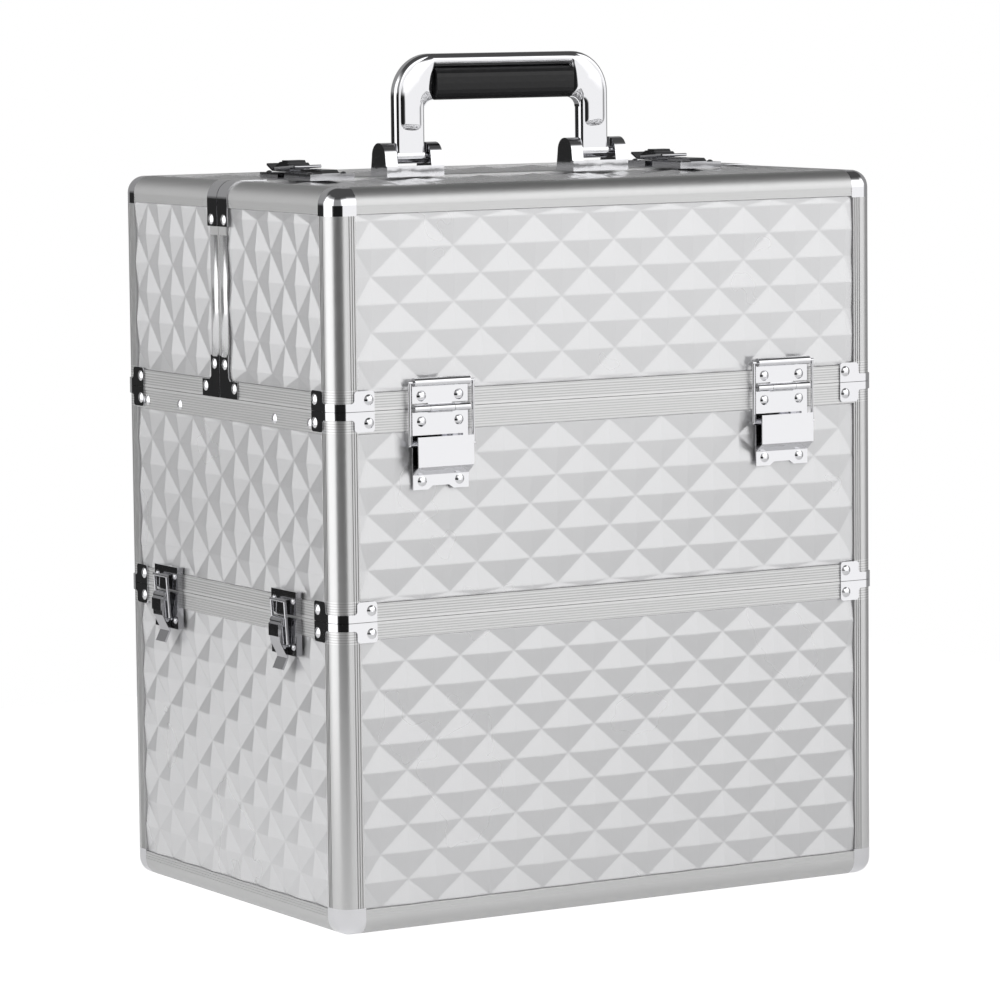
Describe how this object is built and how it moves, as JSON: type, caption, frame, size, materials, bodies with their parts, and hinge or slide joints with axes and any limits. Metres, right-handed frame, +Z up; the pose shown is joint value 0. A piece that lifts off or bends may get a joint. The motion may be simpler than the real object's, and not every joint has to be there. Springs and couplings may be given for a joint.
{
  "type": "makeup case",
  "caption": "Aluminium-framed makeup case with embossed silver panels, a lift-off middle box, fold-out lids with cantilever trays, toggle latches, stop hinges and a folding handle.",
  "frame": {"origin": "centre of the base, on the plane that the case rests on", "axes": "+Z up, -Y towards the front with the stop hinges, +X to the right seen from the front"},
  "size_m": [0.3912, 0.2754, 0.497],
  "materials": {
    "embossed_laminate": "satin",
    "satin_aluminium": "satin brushed",
    "chrome_steel": "polished",
    "arm_steel": "zinc plated",
    "black_grip": "satin",
    "dark_board": "matt"
  },
  "bodies": {
    "lower_box": {"lower_floor": "dark_board", "lower_front_panel": "embossed_laminate", "lower_rear_panel": "embossed_laminate", "lower_side_panels": "embossed_laminate", "lower_frame": "satin_aluminium", "lower_rim": "satin_aluminium", "lower_corner_fittings": "chrome_steel", "side_latch_bases": "chrome_steel"},
    "middle_box": {"middle_floor": "dark_board", "middle_front_panel": "embossed_laminate", "middle_rear_panel": "embossed_laminate", "middle_side_panels": "embossed_laminate", "middle_frame": "satin_aluminium", "middle_top_rim": "satin_aluminium", "middle_corner_brackets": "chrome_steel", "side_latch_catches": "chrome_steel", "hinge_plates": "chrome_steel", "hinge_pins": "chrome_steel", "tray_pivot_plates": "chrome_steel"},
    "front_lid": {"front_lid_top_panel": "embossed_laminate", "front_lid_front_panel": "embossed_laminate", "front_lid_side_panels": "embossed_laminate", "front_lid_frame": "satin_aluminium", "front_lid_rim": "satin_aluminium", "front_lid_corner_fittings": "chrome_steel", "front_lid_hinge_leaves": "chrome_steel", "handle_brackets": "chrome_steel", "top_latch_catches": "chrome_steel"},
    "rear_lid": {"rear_lid_top_panel": "embossed_laminate", "rear_lid_rear_panel": "embossed_laminate", "rear_lid_side_panels": "embossed_laminate", "rear_lid_frame": "satin_aluminium", "rear_lid_rim": "satin_aluminium", "rear_lid_corner_fittings": "chrome_steel", "rear_lid_hinge_leaves": "chrome_steel", "top_latch_bases": "chrome_steel"},
    "handle": {"handle_frame": "chrome_steel", "handle_grip": "black_grip"},
    "lever_side_fl": {"lever_side_fl": "chrome_steel"},
    "lever_side_fr": {"lever_side_fr": "chrome_steel"},
    "lever_side_rl": {"lever_side_rl": "chrome_steel"},
    "lever_side_rr": {"lever_side_rr": "chrome_steel"},
    "lever_top_l": {"lever_top_l": "chrome_steel"},
    "lever_top_r": {"lever_top_r": "chrome_steel"},
    "bail_side_fl": {"bail_side_fl": "chrome_steel"},
    "bail_side_fr": {"bail_side_fr": "chrome_steel"},
    "bail_side_rl": {"bail_side_rl": "chrome_steel"},
    "bail_side_rr": {"bail_side_rr": "chrome_steel"},
    "bail_top_l": {"bail_top_l": "chrome_steel"},
    "bail_top_r": {"bail_top_r": "chrome_steel"},
    "front_stops": {"front_stops": "chrome_steel"},
    "rear_stops": {"rear_stops": "chrome_steel"},
    "front_tray_low": {"front_tray_low": "dark_board"},
    "front_tray_high": {"front_tray_high": "dark_board"},
    "rear_tray_low": {"rear_tray_low": "dark_board"},
    "rear_tray_high": {"rear_tray_high": "dark_board"},
    "front_arm_a": {"front_arm_a": "arm_steel"},
    "front_arm_b": {"front_arm_b": "arm_steel"},
    "rear_arm_a": {"rear_arm_a": "arm_steel"},
    "rear_arm_b": {"rear_arm_b": "arm_steel"}
  },
  "joints": [
    {"name": "middle_lift", "type": "slide", "parent": "lower_box", "child": "middle_box", "axis": [0, 0, 1], "range_m": [0, 0.12]},
    {"name": "front_lid_hinge", "type": "hinge", "parent": "middle_box", "child": "front_lid", "pos_m": [0, -0.1325, 0.299], "axis": [1, 0, 0], "range_deg": [0, 90]},
    {"name": "front_arm_a_pivot", "type": "hinge", "parent": "middle_box", "child": "front_arm_a", "pos_m": [0, -0.1025, 0.291], "axis": [1, 0, 0], "range_deg": [0, 90]},
    {"name": "front_tray_low_pivot", "type": "hinge", "parent": "front_arm_a", "child": "front_tray_low", "pos_m": [0, -0.0625, 0.331], "axis": [1, 0, 0], "range_deg": [-90, 0]},
    {"name": "front_arm_b_pivot", "type": "hinge", "parent": "middle_box", "child": "front_arm_b", "pos_m": [0, -0.0825, 0.291], "axis": [1, 0, 0], "range_deg": [0, 90]},
    {"name": "front_tray_high_pivot", "type": "hinge", "parent": "front_arm_b", "child": "front_tray_high", "pos_m": [0, -0.0245, 0.359], "axis": [1, 0, 0], "range_deg": [-90, 0]},
    {"name": "front_stops_swing", "type": "hinge", "parent": "front_lid", "child": "front_stops", "pos_m": [0, -0.1326, 0.314], "axis": [1, 0, 0], "range_deg": [-66, 0]},
    {"name": "rear_lid_hinge", "type": "hinge", "parent": "middle_box", "child": "rear_lid", "pos_m": [0, 0.1325, 0.299], "axis": [-1, 0, 0], "range_deg": [0, 90]},
    {"name": "rear_arm_a_pivot", "type": "hinge", "parent": "middle_box", "child": "rear_arm_a", "pos_m": [0, 0.1025, 0.291], "axis": [-1, 0, 0], "range_deg": [0, 90]},
    {"name": "rear_tray_low_pivot", "type": "hinge", "parent": "rear_arm_a", "child": "rear_tray_low", "pos_m": [0, 0.0625, 0.331], "axis": [-1, 0, 0], "range_deg": [-90, 0]},
    {"name": "rear_arm_b_pivot", "type": "hinge", "parent": "middle_box", "child": "rear_arm_b", "pos_m": [0, 0.0825, 0.291], "axis": [-1, 0, 0], "range_deg": [0, 90]},
    {"name": "rear_tray_high_pivot", "type": "hinge", "parent": "rear_arm_b", "child": "rear_tray_high", "pos_m": [0, 0.0245, 0.359], "axis": [-1, 0, 0], "range_deg": [-90, 0]},
    {"name": "rear_stops_swing", "type": "hinge", "parent": "rear_lid", "child": "rear_stops", "pos_m": [0, 0.1326, 0.314], "axis": [-1, 0, 0], "range_deg": [-66, 0]},
    {"name": "handle_fold", "type": "hinge", "parent": "front_lid", "child": "handle", "pos_m": [0, -0.006, 0.437], "axis": [1, 0, 0], "range_deg": [-90, 90]},
    {"name": "lever_side_fl_turn", "type": "hinge", "parent": "lower_box", "child": "lever_side_fl", "pos_m": [-0.1915, -0.0735, 0.1763], "axis": [0, 1, 0], "range_deg": [0, 100]},
    {"name": "bail_side_fl_turn", "type": "hinge", "parent": "lever_side_fl", "child": "bail_side_fl", "pos_m": [-0.1906, -0.0735, 0.163], "axis": [0, 1, 0], "range_deg": [-68, 0]},
    {"name": "lever_side_fr_turn", "type": "hinge", "parent": "lower_box", "child": "lever_side_fr", "pos_m": [0.1915, -0.0735, 0.1763], "axis": [0, -1, 0], "range_deg": [0, 100]},
    {"name": "bail_side_fr_turn", "type": "hinge", "parent": "lever_side_fr", "child": "bail_side_fr", "pos_m": [0.1906, -0.0735, 0.163], "axis": [0, -1, 0], "range_deg": [-68, 0]},
    {"name": "lever_side_rl_turn", "type": "hinge", "parent": "lower_box", "child": "lever_side_rl", "pos_m": [-0.1915, 0.0735, 0.1763], "axis": [0, 1, 0], "range_deg": [0, 100]},
    {"name": "bail_side_rl_turn", "type": "hinge", "parent": "lever_side_rl", "child": "bail_side_rl", "pos_m": [-0.1906, 0.0735, 0.163], "axis": [0, 1, 0], "range_deg": [-68, 0]},
    {"name": "lever_side_rr_turn", "type": "hinge", "parent": "lower_box", "child": "lever_side_rr", "pos_m": [0.1915, 0.0735, 0.1763], "axis": [0, -1, 0], "range_deg": [0, 100]},
    {"name": "bail_side_rr_turn", "type": "hinge", "parent": "lever_side_rr", "child": "bail_side_rr", "pos_m": [0.1906, 0.0735, 0.163], "axis": [0, -1, 0], "range_deg": [-68, 0]},
    {"name": "lever_top_l_turn", "type": "hinge", "parent": "rear_lid", "child": "lever_top_l", "pos_m": [-0.128, 0.0132, 0.4315], "axis": [1, 0, 0], "range_deg": [0, 100]},
    {"name": "bail_top_l_turn", "type": "hinge", "parent": "lever_top_l", "child": "bail_top_l", "pos_m": [-0.128, 0.0265, 0.4306], "axis": [1, 0, 0], "range_deg": [-68, 0]},
    {"name": "lever_top_r_turn", "type": "hinge", "parent": "rear_lid", "child": "lever_top_r", "pos_m": [0.128, 0.0132, 0.4315], "axis": [1, 0, 0], "range_deg": [0, 100]},
    {"name": "bail_top_r_turn", "type": "hinge", "parent": "lever_top_r", "child": "bail_top_r", "pos_m": [0.128, 0.0265, 0.4306], "axis": [1, 0, 0], "range_deg": [-68, 0]}
  ],
  "couplings": [
    {"joint": "front_arm_a_pivot", "follows": "front_lid_hinge", "ratio": 1},
    {"joint": "front_tray_low_pivot", "follows": "front_lid_hinge", "ratio": -1},
    {"joint": "front_arm_b_pivot", "follows": "front_lid_hinge", "ratio": 1},
    {"joint": "front_tray_high_pivot", "follows": "front_lid_hinge", "ratio": -1},
    {"joint": "front_stops_swing", "follows": "front_lid_hinge", "ratio": -0.733},
    {"joint": "rear_arm_a_pivot", "follows": "rear_lid_hinge", "ratio": 1},
    {"joint": "rear_tray_low_pivot", "follows": "rear_lid_hinge", "ratio": -1},
    {"joint": "rear_arm_b_pivot", "follows": "rear_lid_hinge", "ratio": 1},
    {"joint": "rear_tray_high_pivot", "follows": "rear_lid_hinge", "ratio": -1},
    {"joint": "rear_stops_swing", "follows": "rear_lid_hinge", "ratio": -0.733},
    {"joint": "bail_side_fl_turn", "follows": "lever_side_fl_turn", "ratio": -0.67},
    {"joint": "bail_side_fr_turn", "follows": "lever_side_fr_turn", "ratio": -0.67},
    {"joint": "bail_side_rl_turn", "follows": "lever_side_rl_turn", "ratio": -0.67},
    {"joint": "bail_side_rr_turn", "follows": "lever_side_rr_turn", "ratio": -0.67},
    {"joint": "bail_top_l_turn", "follows": "lever_top_l_turn", "ratio": -0.67},
    {"joint": "bail_top_r_turn", "follows": "lever_top_r_turn", "ratio": -0.67}
  ]
}
